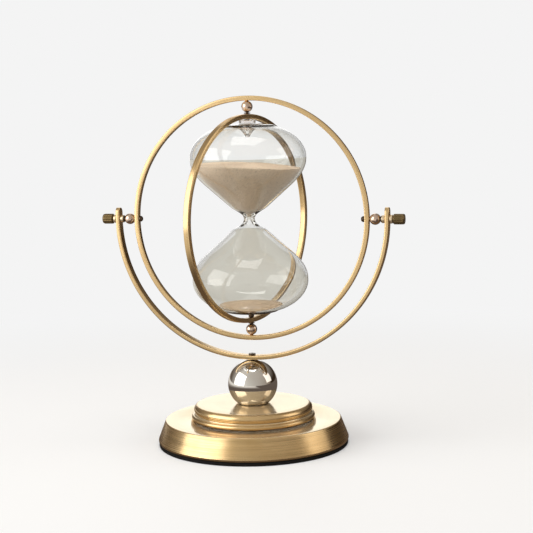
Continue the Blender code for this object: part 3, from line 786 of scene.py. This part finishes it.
champagne = mirror_plate("champagne_plate", (0.73, 0.575, 0.48), 0.06)
washer_low, washer_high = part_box("right_thrust_washer")
washer_section = tube(shaft_hole, washer_high.y, washer_low.x, washer_high.x, 0.12 * MM)
pivot_low, pivot_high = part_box("right_pivot_ball")
small_ball = pivot_high.y
pivot_ball_centre = (pivot_low.x + pivot_high.x) / 2
bore_angle = math.degrees(math.acos(shaft_hole / small_ball))
nut_low, nut_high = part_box("right_dome_nut")
nut_radius = nut_high.y
nut_bevel = 0.2 * MM
nut_skirt_end = nut_high.x - 0.7 * MM
nut_bore_end = nut_low.x + 0.8 * MM
nut_section = [(0, nut_bore_end, 0.0), (shaft_hole, nut_bore_end, 0.0), (shaft_hole, nut_high.x, 0.0)]
nut_section += [(nut_radius - nut_bevel, nut_high.x, 0.4), (nut_radius, nut_high.x - nut_bevel, 0.6)]
nut_section += oval(0, nut_skirt_end, nut_radius, nut_skirt_end - nut_low.x, 0, -90, 16)
for side, turn in SIDES:
    washer = lathe(side + "_dark_washer", washer_section, 64, 3)
    mount(washer, turn, oxide_steel, "outer_ring", "dark_steel", side + "_thrust_washer")
    section = oval(0, pivot_ball_centre, small_ball, small_ball, bore_angle, -bore_angle, 40)
    bead = turned(side + "_spacer_ball", section, 96, True)
    mount(bead, turn, champagne, "outer_ring", "champagne_plate", side + "_pivot_ball")
    nut = turned(side + "_dome_nut_black", nut_section, 72, False)
    mount(nut, turn, oxide_steel, "outer_ring", "dark_steel", side + "_dome_nut")


# ---- swivel balls ----
# A plated ball hangs from the top of the outer ring and another stands at its bottom, each
# riveted through the ring by a spigot and bored from the other side for the swivel screw.

UPRIGHT = Matrix.Identity(4)
UPSIDE_DOWN = Matrix.Rotation(math.pi, 4, "X")
ENDS = (("top", UPRIGHT), ("bottom", UPSIDE_DOWN))
spigot_radius = 1.5 * MM
spigot_bevel = 0.2 * MM
screw_hole = 1.6 * MM


def nearest_and_farthest(node):
    """How far a plain solid's ends lie above or below the pivots."""
    heights = [abs(corner.z - pivot_height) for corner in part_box(node)]
    return min(heights), max(heights)


swivel_top = nearest_and_farthest("top_swivel_ball")[1]
swivel_centre = outer_radius - ring_thickness - gap - small_ball
spigot_angle = math.degrees(math.acos(spigot_radius / small_ball))
screw_angle = math.degrees(math.acos(screw_hole / small_ball))
hole_end = swivel_centre + 3.0 * MM
for end, turn in ENDS:
    section = [(0, swivel_top, 0.0), (spigot_radius - spigot_bevel, swivel_top, 0.5)]
    section += [(spigot_radius, swivel_top - spigot_bevel, 0.5)]
    section += oval(0, swivel_centre, small_ball, small_ball, spigot_angle, -screw_angle, 40)
    section += [(screw_hole, hole_end, 0.0), (0, hole_end, 0.0)]
    bead = turned(end + "_swivel_bead", section, 96)
    mount(bead, turn, champagne, "outer_ring", "champagne_plate", end + "_swivel_ball")


# ---- swivel screws and neck nuts ----
# A blackened screw goes out through the inner ring into each swivel ball, locked by a thin
# round nut on the ring's outside. The ring and the glass turn on these two screws.

screw_radius = 1.3 * MM
screw_head_radius = 2.4 * MM
neck_nut_radius = 2.7 * MM
neck_near, neck_far = nearest_and_farthest("top_neck_nut")
neck_section = tube(screw_hole, neck_nut_radius, neck_near, neck_far, 0.2 * MM)
seat = inner_radius - ring_thickness - gap
for end, turn in ENDS:
    head_low, tip = nearest_and_farthest(end + "_swivel_screw")
    screw_section = [
        (0, tip, 0),
        (screw_radius, tip, 0.3 * MM),
        (screw_radius, seat, 0.05 * MM),
        (screw_head_radius, seat, 0.2 * MM),
        (screw_head_radius, head_low, 0.35 * MM),
        (0, head_low, 0),
    ]
    screw = lathe(end + "_swivel_pin", screw_section, 56, 4, False)
    mount(screw, turn, oxide_steel, "inner_ring", "dark_steel", end + "_swivel_screw")
    nut = lathe(end + "_round_nut", neck_section, 56, 3)
    mount(nut, turn, oxide_steel, "inner_ring", "dark_steel", end + "_neck_nut")


# ---- clear pads ----
# Moulded clear rubber seats between the inner ring and the glass. Each has a nib that drops
# into the dimple in the bulb's end, which keeps the glass central.


def clear_rubber():
    """Clear moulded rubber with a warm tint and a satin skin."""
    f = Finish("clear_rubber", Transmission_Weight=0.92, IOR=1.42)
    where = f.place()
    skin = f.speckle(where, 500.0, 3.0)
    colour = f.blend(f.span(skin, 0.3, 0.7), (0.93, 0.87, 0.84, 1), (0.97, 0.94, 0.92, 1))
    f.relief(skin, 0.03 * MM)
    return f.use(Base_Color=colour, Roughness=f.span(skin, 0.3, 0.7, 0.14, 0.26))


rubber = clear_rubber()
glass_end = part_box("glass_vessel")[1].z - pivot_height
pad_tip_radius = 1.2 * MM
nib_radii = (3.0 * MM, 2.5 * MM)
for (end, turn), nib in zip(ENDS, nib_radii):
    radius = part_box(end + "_pad")[1].x
    tip, tall = nearest_and_farthest(end + "_pad")
    pad_section = [(0, tall, 0)]
    if end == "top":
        hollow_floor = nearest_and_farthest(end + "_swivel_screw")[0] - gap
        hollow_radius = screw_head_radius + gap
        pad_section = [(0, hollow_floor, 0), (hollow_radius, hollow_floor, 0)]
        pad_section += [(hollow_radius, tall, 0.1 * MM)]
    pad_section += [
        (radius, tall, 0.5 * MM),
        (radius, glass_end + gap, 0.4 * MM),
        (nib, glass_end + gap, 0.3 * MM),
        (pad_tip_radius, tip, 0.4 * MM),
        (0, tip, 0),
    ]
    seat_pad = lathe(end + "_clear_seat", pad_section, 96, 5, False)
    mount(seat_pad, turn, rubber, "inner_ring", "clear_rubber", end + "_pad")


# ---- glass ----
# One blown vessel of clear soda glass: two bulbs drawn to a thick neck, with pressed dimples
# in both ends. It was filled through the top dimple, and the tip was melted shut.

wall = 1.7 * MM
neck_radius = 4.6 * MM
throat_radius = 1.1 * MM
cone_start = (16.1 * MM, 10.5 * MM)
cone_end = (36.1 * MM, 28.4 * MM)
widest_radius = 49.5 * MM
widest_height = 52.3 * MM
shoulder_height = 28.0 * MM
end_radius = 24.0 * MM
end_flat = 8.0 * MM
dimple_radius = 5.2 * MM
top_dimple = 73.6 * MM
top_dimple_inside = 69.8 * MM
bottom_dimple = 76.8 * MM
bottom_dimple_inside = 74.6 * MM
fill_hole = 0.9 * MM


def curve(start, start_pull, end_pull, end, count):
    """Points on a cubic curve, without its first point."""
    points = []
    for k in range(1, count + 1):
        t = k / count
        share = ((1 - t) ** 3, 3 * t * (1 - t) ** 2, 3 * t * t * (1 - t), t ** 3)
        corners = (start, start_pull, end_pull, end)
        points.append(tuple(sum(w * c[n] for w, c in zip(share, corners)) for n in (0, 1)))
    return points


def bulb_side(inset, neck):
    """Half of the vessel's side, from the neck up to the end's rim, as (radius, height)."""
    slope = (cone_end[0] - cone_start[0]) / (cone_end[1] - cone_start[1])
    shift = inset * math.hypot(1, slope)
    widest = widest_radius - inset
    neck_pull = 5.0 * MM
    cone_pull = 4.2 * MM
    side_pull = 4.0 * MM
    shoulder_pull = 8.5 * MM
    start = (cone_start[0] - shift, cone_start[1])
    end = (cone_end[0] - shift, cone_end[1])
    points = [(neck, 0.0)]
    below_start = (start[0] - cone_pull, start[1] - cone_pull / slope)
    points += curve((neck, 0), (neck, neck_pull), below_start, start, 12)
    points += curve(start, (start[0] + slope * side_pull, start[1] + side_pull),
                    (end[0] - slope * side_pull, end[1] - side_pull), end, 8)
    points += curve(end, (end[0] + slope * shoulder_pull, end[1] + shoulder_pull),
                    (widest, widest_height - shoulder_pull), (widest, widest_height), 16)
    width = widest - end_flat
    height = shoulder_height - inset
    rim = math.degrees(math.acos((end_radius - end_flat) / width))
    points += [p[:2] for p in oval(end_flat, widest_height, width, height, 0, rim, 24)[1:]]
    return points


def softened(points, rounds=2):
    """Round the corners of a line of points, which keeps its ends."""
    for _ in range(rounds):
        cut = [points[0]]
        for a, b in zip(points, points[1:]):
            cut.append((a[0] * 0.75 + b[0] * 0.25, a[1] * 0.75 + b[1] * 0.25))
            cut.append((a[0] * 0.25 + b[0] * 0.75, a[1] * 0.25 + b[1] * 0.75))
        cut.append(points[-1])
        points = cut
    return points


def glass_ends():
    """The outside and inside of the top and bottom ends, from the rim to the axis."""
    outside = [(end_radius - 1.2 * MM, 79.2 * MM), (16.5 * MM, 80.3 * MM), (end_flat, glass_end)]
    outside += [(dimple_radius, glass_end - 0.15 * MM), (4.0 * MM, 79.8 * MM)]
    flat = glass_end - 1.5 * wall
    inside = [(2 * end_flat, flat - gap), (end_flat, flat)]
    side_out, side_in = 2.0 * MM, 2.4 * MM
    top = outside + [(side_out, 75.9 * MM), (fill_hole, top_dimple)]
    top_inside = inside + [(dimple_radius, top_dimple + wall), (side_in, 71.8 * MM)]
    top_inside += [(fill_hole + 0.6 * MM, top_dimple_inside), (fill_hole, top_dimple_inside)]
    bottom = outside + [(side_out, 77.6 * MM), (0, bottom_dimple)]
    bottom_inside = inside + [(dimple_radius, bottom_dimple), (side_in, 75.1 * MM), (0, bottom_dimple_inside)]
    return top, top_inside, bottom, bottom_inside


def clear_glass():
    """Clear soda glass with a faint green-grey body, slight ripples and smears.

    Lamplight goes straight through it, so the sand inside is lit.
    """
    f = Finish("clear_glass", Transmission_Weight=1.0, IOR=1.5, Roughness=0.0)
    where = f.place()
    ripple = f.speckle(where, 45.0, 2.0)
    f.relief(ripple, 0.10 * MM, 0.35)
    tint = f.blend(f.span(ripple, 0.3, 0.7), (0.975, 0.985, 0.98, 1), (0.99, 0.995, 0.99, 1))
    smear = f.speckle(where, 130.0, 4.0)
    f.use(Base_Color=tint, Roughness=f.span(smear, 0.45, 0.8, 0.0, 0.03))
    clear = f.add("BsdfTransparent", None, Color=(0.93, 0.93, 0.92, 1)).outputs[0]
    shade = f.add("LightPath").outputs["Is Shadow Ray"]
    return f.show(f.part_way(shade, f.shader.outputs[0], clear))


outside = bulb_side(0, neck_radius)
inside = bulb_side(wall, throat_radius)
top, top_inside, bottom, bottom_inside = glass_ends()
top = softened(outside[-3:] + top)
bottom = softened(outside[-3:] + bottom)
top_inside = softened(inside[-3:] + top_inside)
bottom_inside = softened(inside[-3:] + bottom_inside)
line = [(r, -z) for r, z in reversed(inside[1:-3] + bottom_inside)]
line += inside[:-3] + top_inside
line += list(reversed(outside[1:-3] + top))
line += [(r, -z) for r, z in outside[:-3] + bottom]


def thinned(points, least=0.05 * MM):
    """Leave out points that fall on the one before."""
    kept = [points[0]]
    for p in points[1:]:
        if math.hypot(p[0] - kept[-1][0], p[1] - kept[-1][1]) > least:
            kept.append(p)
    kept[-1] = points[-1]
    return kept


glass = clear_glass()
vessel_section = [(r, z, 0.0) for r, z in thinned(line)]
vessel = turned("blown_vessel", vessel_section, 192)
stand_up(vessel, pivot_height)
fit(vessel, glass, "inner_ring", "clear_glass", "glass_vessel")

seal_radius = 0.6 * MM
seal_low, seal_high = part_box("glass_seal")
seal_section = tube(0, seal_radius, seal_low.z, seal_high.z, 0.4 * MM)
seal = lathe("melted_seal", seal_section, 32, 6, False)
fit(seal, glass, "inner_ring", "clear_glass", "glass_seal")


# ---- sand ----
# Fine washed sand, sieved to one size. What is left in the upper bulb lies a little higher
# on one side, and what has run through makes a low heap on the floor of the lower bulb.


def sand_grain():
    """Fine beige sand: grains of three tones with dark specks."""
    f = Finish("sand", Roughness=0.95)
    where = f.place()
    grains = f.add("TexVoronoi", None, Vector=where, Scale=2600.0).outputs
    tone = f.add("SeparateColor", None, Color=grains["Color"]).outputs[0]
    drift = f.speckle(where, 45.0, 4.0)
    colour = f.blend(tone, (0.62, 0.475, 0.34, 1), (0.90, 0.73, 0.56, 1))
    colour = f.blend(f.span(drift, 0.35, 0.7, 0.0, 0.35), colour, (0.52, 0.37, 0.25, 1))
    colour = f.blend(f.span(tone, 0.94, 0.97, 0.0, 0.8), colour, (0.10, 0.07, 0.05, 1))
    f.relief(grains["Distance"], 0.12 * MM)
    return f.use(Base_Color=colour, Roughness=f.span(tone, 0.0, 1.0, 0.88, 1.0))


sand = sand_grain()
sand_gap = 0.25 * MM
inner_wall = bulb_side(wall + sand_gap, throat_radius - sand_gap)
heap_slant = math.radians(17)
DOWNHILL = Vector((math.cos(heap_slant), math.sin(heap_slant), 0))


def wall_radius(height):
    """The inside radius of a bulb at a height from the neck."""
    for (r0, z0), (r1, z1) in zip(inner_wall, inner_wall[1:]):
        if z0 <= height <= z1 and z1 > z0:
            return r0 + (r1 - r0) * (height - z0) / (z1 - z0)
    return inner_wall[-1][0]


def heap(name, surface, edge, under, places, rings, steps):
    """A body of sand: its free surface out to the wall, then its side or floor to the axis.

    surface(x, y) is a height. edge(angle) and under(angle, place) are (radius, height).
    """
    work = bmesh.new()
    centre = work.verts.new((0, 0, surface(0.0, 0.0)))
    angles = [2 * math.pi * n / steps for n in range(steps)]
    rows = []
    for k in range(1, rings + 1):
        row = []
        for a in angles:
            reach, edge_height = edge(a)
            r = reach * k / rings
            x, y = r * math.cos(a), r * math.sin(a)
            z = surface(x, y) if k < rings else edge_height
            row.append(work.verts.new((x, y, z)))
        rows.append(row)
    for place in places:
        row = []
        for a in angles:
            r, z = under(a, place)
            row.append(work.verts.new((r * math.cos(a), r * math.sin(a), z)))
        rows.append(row)
    for n in range(steps):
        m = (n + 1) % steps
        work.faces.new((centre, rows[0][n], rows[0][m]))
        for upper, lower in zip(rows, rows[1:]):
            work.faces.new((upper[n], lower[n], lower[m], upper[m]))
    work.faces.new(list(reversed(rows[-1])))
    for face in work.faces:
        face.smooth = True
    bmesh.ops.recalc_face_normals(work, faces=work.faces)
    return finished(name, work)


def ripples(x, y, *waves):
    """Uneven ground: the sum of waves of (level, cycles per metre, depth)."""
    return sum(noise.noise(Vector((x, y, level)) * cycles) * depth for level, cycles, depth in waves)


sand_level = 47.6 * MM
sand_slope = 3.0 * MM
sand_crown = 3.6 * MM


def upper_surface(x, y):
    """The upper sand's free surface, from the neck."""
    across = (x * DOWNHILL.x + y * DOWNHILL.y) / widest_radius
    out = math.hypot(x, y) / widest_radius
    uneven = ripples(x, y, (0, 60, 0.5 * MM), (5 * MM, 260, 0.16 * MM))
    return sand_level - sand_slope * across - sand_crown * out ** 2 + uneven


def upper_edge(angle):
    """Where the free surface meets the wall, found by going back and forth between them."""
    reach = 44 * MM
    for _ in range(6):
        z = upper_surface(reach * math.cos(angle), reach * math.sin(angle))
        reach = wall_radius(z)
    return reach, z


sand_throat = 2.6 * MM
side_rows = 44


def upper_side(angle, share):
    """The sand against the wall, at a share of the way down to the throat."""
    top_height = upper_edge(angle)[1]
    z = top_height + (sand_throat - top_height) * share
    return wall_radius(z), z


shares = [k / side_rows for k in range(1, side_rows + 1)]
upper = heap("upper_sand_fill", upper_surface, upper_edge, upper_side, shares, 22, 96)
stand_up(upper, pivot_height)
fit(upper, sand, "inner_ring", "sand", "upper_sand")

heap_edge = 28.5 * MM
heap_rise = 4.6 * MM
heap_side = bulb_side(wall + sand_gap, throat_radius)
heap_floor = [(r, z) for r, z in heap_side if r < heap_edge and z > widest_height]
over_dimple = ((16.0, 77.4), (12.0, 77.6), (8.0, 77.7), (5.0, 76.6), (2.4, 74.7), (0.3, 74.1))
heap_floor += [(r * MM, z * MM) for r, z in over_dimple]
heap_rim = -heap_floor[0][1] + 0.2 * MM


def lower_surface(x, y):
    """The lower heap's free surface, measured up from the pivots, so it is negative."""
    out = math.hypot(x, y) / heap_edge
    uneven = ripples(x, y, (9 * MM, 90, 0.4 * MM), (2 * MM, 300, 0.12 * MM))
    mound = heap_rise * max(0.0, 1 - out) ** 1.15
    return heap_rim + mound + uneven * max(0.0, 1 - out ** 4)


def lower_edge(angle):
    """The heap's thin edge, level all round."""
    return heap_floor[0][0], heap_rim


def lower_floor(angle, row):
    """The glass under the heap, a little clear of it."""
    r, z = heap_floor[row]
    return r, -z


rows_under = range(1, len(heap_floor))
lower = heap("lower_sand_heap", lower_surface, lower_edge, lower_floor, rows_under, 26, 96)
stand_up(lower, pivot_height)
fit(lower, sand, "inner_ring", "sand", "lower_sand")


# ---- floor, light and camera ----
# A plain pale sweep, a large window at the left, a weaker light at the right and one overhead.
# The room is bright at the front left and dim at the right, which gives the brass its dark side.

floor_work = bmesh.new()
bmesh.ops.create_circle(floor_work, cap_ends=True, radius=6.0, segments=96)
floor = finished("pale_floor", floor_work)
PALE = (0.905, 0.905, 0.905, 1)
WINDOW_TABLE = (0.86, 0.82, 0.74, 1)
ROOM_TABLE = (0.74, 0.68, 0.60, 1)
PAINTED_SHADE_TABLE = (0.085, 0.055, 0.036, 1)
DUSTY_TABLE = (0.62, 0.595, 0.53, 1)


def pale_floor():
    """A matt white floor that runs out into an even glow.

    The metal mirrors it as a table that glows in painted light: painted window light at the front
    left and painted shade near the stand and on the right. The glass shows it as dusty beige.
    """
    f = Finish("pale_floor", Base_Color=(0.745, 0.745, 0.745, 1), Roughness=1.0, Specular_IOR_Level=0.0)
    where = f.place()
    far = f.add("VectorMath", {"operation": "LENGTH"}, i0=where).outputs["Value"]
    lift = f.light((0.155, 0.175, 0.205, 1))
    near = f.add("AddShader", None, i0=f.shader.outputs[0], i1=lift).outputs[0]
    pale = f.part_way(f.span(far, 0.15, 0.8, smooth=True), near, f.light(PALE))
    # Painted reflection for glossy rays: painted shade near the stand and on the right, and painted window
    # light at the front left.
    across = f.reach_along(where, (0.87, 0.5, 0.0))
    shaded = f.maths("MAXIMUM", f.span(across, -0.05, 0.10), f.span(far, 0.22, 0.50, 1.0, 0.0))
    lit = f.blend(f.span(across, -0.45, -0.2, 1.0, 0.0), ROOM_TABLE, WINDOW_TABLE)
    table = f.light(f.blend(shaded, lit, PAINTED_SHADE_TABLE))
    path = f.add("LightPath").outputs
    mirrored = f.maths("SUBTRACT", path["Is Glossy Ray"], path["Is Transmission Ray"])
    share = f.maths("MULTIPLY", f.maths("MAXIMUM", mirrored, 0.0), 0.94)
    solid = f.part_way(share, pale, table)
    return f.show(f.part_way(path["Is Transmission Ray"], solid, f.light(DUSTY_TABLE)))


floor.data.materials.append(pale_floor())

ring_centre = Vector((0, 0, pivot_height))


def away(azimuth, elevation):
    """A unit vector: azimuth from the front towards the right, elevation up, in degrees."""
    a, e = math.radians(azimuth), math.radians(elevation)
    return Vector((math.sin(a) * math.cos(e), -math.cos(a) * math.cos(e), math.sin(e)))


def soft_light(name, azimuth, elevation, distance, width, height, power, colour):
    """A rectangular soft light that faces the rings."""
    lamp = bpy.data.lights.new(name, "AREA")
    lamp.shape = "RECTANGLE"
    lamp.size = width
    lamp.size_y = height
    lamp.energy = power
    lamp.color = colour
    stand = bpy.data.objects.new(name, lamp)
    back = away(azimuth, elevation)
    stand.location = ring_centre + back * distance
    stand.rotation_euler = back.to_track_quat("Z", "Y").to_euler()
    stand.visible_camera = False
    bpy.context.scene.collection.objects.link(stand)
    return stand


soft_light("window", -51, 17, 1.6, 1.7, 1.5, 14.5, (1.0, 0.985, 0.96))
soft_light("side", 102, 20, 1.5, 0.9, 1.0, 3.2, (1.0, 0.93, 0.84))
overhead_lamp = soft_light("overhead", 0, 84, 1.5, 1.0, 1.0, 11, (1.0, 0.98, 0.95))
overhead_lamp.visible_glossy = False

world = bpy.data.worlds.new("room")
bpy.context.scene.world = world
world.use_nodes = True
world.node_tree.nodes.clear()
room = Nodes(world.node_tree)
direction = room.add("TexCoord").outputs["Generated"]
x, y, up = room.add("SeparateXYZ", None, i0=direction).outputs
bearing = room.maths("ARCTAN2", x, room.maths("MULTIPLY", y, -1.0))
ramp = room.add("ValToRGB", None, i0=room.span(bearing, -math.pi, math.pi))
BACKDROP = (1.55, 1.54, 1.50)
DARK = (0.035, 0.022, 0.012)
CEILING = (0.56, 0.51, 0.44, 1)
walls = (
    (-180, DARK), (-176, DARK), (-169, BACKDROP), (-151, BACKDROP), (-145, (0.12, 0.09, 0.07)),
    (-112, (0.14, 0.11, 0.085)), (-84, (0.42, 0.39, 0.35)), (-66, (0.95, 0.92, 0.84)),
    (-24, (0.88, 0.85, 0.78)), (-8, (0.70, 0.67, 0.60)), (30, (0.56, 0.52, 0.46)),
    (75, (0.42, 0.37, 0.31)), (100, (0.30, 0.24, 0.18)), (116, DARK), (180, DARK),
)
stops = ramp.color_ramp.elements
stops[0].position = 0.0
stops[0].color = walls[0][1] + (1,)
stops[1].position = 1.0
stops[1].color = walls[-1][1] + (1,)
for angle, colour in walls[1:]:
    stop = stops.new((angle + 180) / 360)
    stop.color = colour + (1,)
dimmed = room.blend(room.span(up, 0.15, 0.7, 0.0, 0.6), ramp.outputs[0], CEILING)
behind = room.span(room.reach_along(direction, away(17 + 180, 0)), 0.76, 0.92)
path = room.add("LightPath").outputs
through = room.maths("MULTIPLY", path["Is Transmission Ray"], behind)
straight = room.maths("MAXIMUM", path["Is Camera Ray"], through)
sky = room.add("Background", None, Color=room.blend(straight, dimmed, PALE), Strength=1.0)
room.add("OutputWorld", None, Surface=sky.outputs[0])

camera = bpy.data.objects.new("camera", bpy.data.cameras.new("camera"))
bpy.context.scene.collection.objects.link(camera)
camera.data.lens = 85.9
camera.data.sensor_width = 36.0
camera_distance = 1.0848
aim_down = math.radians(2.16)
aim_right = math.radians(0.73)
roll = math.radians(1.18)
back = away(16.92, 4.18)
camera.rotation_mode = "QUATERNION"
camera.location = ring_centre + back * camera_distance
look = (-back).to_track_quat("-Z", "Y").to_matrix()
look = look @ Matrix.Rotation(-aim_right, 3, "Y") @ Matrix.Rotation(-aim_down, 3, "X")
look = look @ Matrix.Rotation(-roll, 3, "Z")
camera.rotation_quaternion = look.to_quaternion()
bpy.context.scene.camera = camera
bpy.context.scene.view_settings.view_transform = "Standard"


# ---- view layer update ----

bpy.context.view_layer.update()
